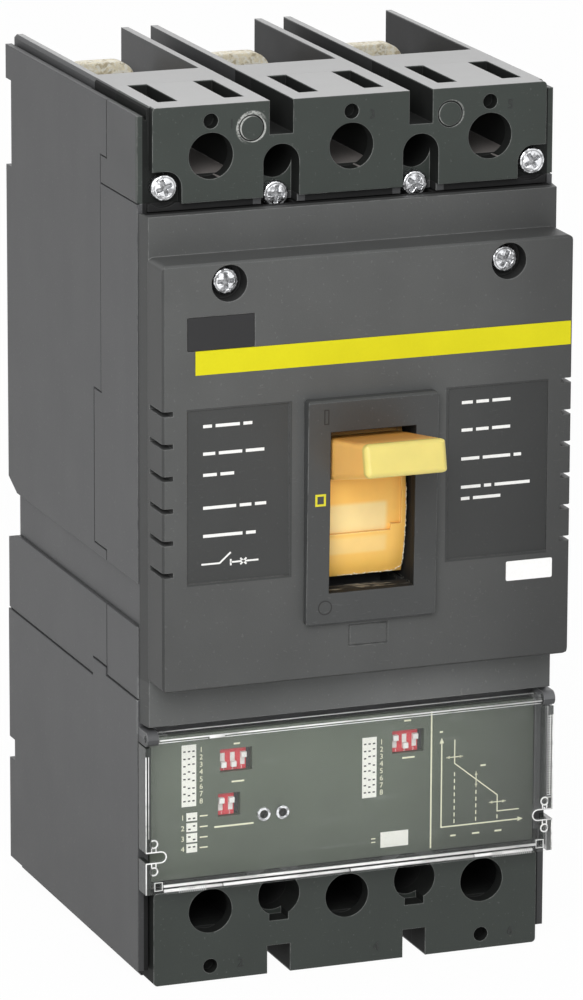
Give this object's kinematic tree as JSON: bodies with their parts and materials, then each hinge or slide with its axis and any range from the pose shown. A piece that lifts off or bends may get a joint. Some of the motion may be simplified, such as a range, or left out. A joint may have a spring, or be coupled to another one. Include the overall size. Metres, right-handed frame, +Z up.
{
  "type": "molded case circuit breaker",
  "caption": "Molded case circuit breaker with toggle handle, electronic trip unit under a hinged clear cover, and open terminal bays at top and bottom.",
  "frame": {"origin": "centre of the four mounting screws, on the back plane", "axes": "+X to the right, -Y to the front where the handle is, +Z up to the line terminals"},
  "size_m": [0.1048, 0.1362, 0.2136],
  "materials": {
    "case_grey": "fine moulded grain",
    "cover_grey": "fine moulded grain",
    "block_grey": "satin moulded",
    "panel_grey": "printed film",
    "clear_plastic": "clear moulded",
    "handle_yellow": "satin moulded",
    "strip_yellow": "printed",
    "dip_red": "satin moulded",
    "lever_white": "satin moulded",
    "zinc_steel": "bright zinc plated",
    "terminal_metal": "dull plated"
  },
  "bodies": {
    "case": {"base_shell": "case_grey", "main_cover": "case_grey", "upper_terminal_cover": "block_grey", "mid_band": "case_grey", "lower_base": "case_grey", "lower_cover": "case_grey", "trip_housing": "case_grey", "lower_terminal_cover": "block_grey", "front_cover": "cover_grey", "handle_frame": "block_grey", "yellow_strip": "strip_yellow", "handle_pin": "zinc_steel", "trip_panel": "panel_grey", "dip_switch_1": "dip_red", "dip_switch_2": "dip_red", "dip_switch_3": "dip_red", "dip_levers_1": "lever_white", "dip_levers_2": "lever_white", "dip_levers_3": "lever_white", "test_socket_left": "zinc_steel", "test_socket_right": "zinc_steel", "hinge_ear_left": "case_grey", "hinge_ear_right": "case_grey", "upper_terminal_1": "terminal_metal", "upper_terminal_2": "terminal_metal", "upper_terminal_3": "terminal_metal", "lower_terminal_1": "terminal_metal", "lower_terminal_2": "terminal_metal", "lower_terminal_3": "terminal_metal", "block_screw_1": "zinc_steel", "block_screw_2": "zinc_steel", "block_screw_3": "zinc_steel", "block_screw_4": "zinc_steel", "front_screw_left": "zinc_steel", "front_screw_right": "zinc_steel"},
    "handle_body": {"handle": "handle_yellow"},
    "cover_body": {"clear_cover": "clear_plastic"}
  },
  "joints": [
    {"name": "handle_toggle", "type": "hinge", "parent": "case", "child": "handle_body", "pos_m": [0, -0.058, 0.0081], "axis": [1, 0, 0], "range_deg": [0, 25.4]},
    {"name": "cover_hinge", "type": "hinge", "parent": "case", "child": "cover_body", "pos_m": [0, -0.1012, -0.0466], "axis": [-1, 0, 0], "range_deg": [0, 100]}
  ]
}
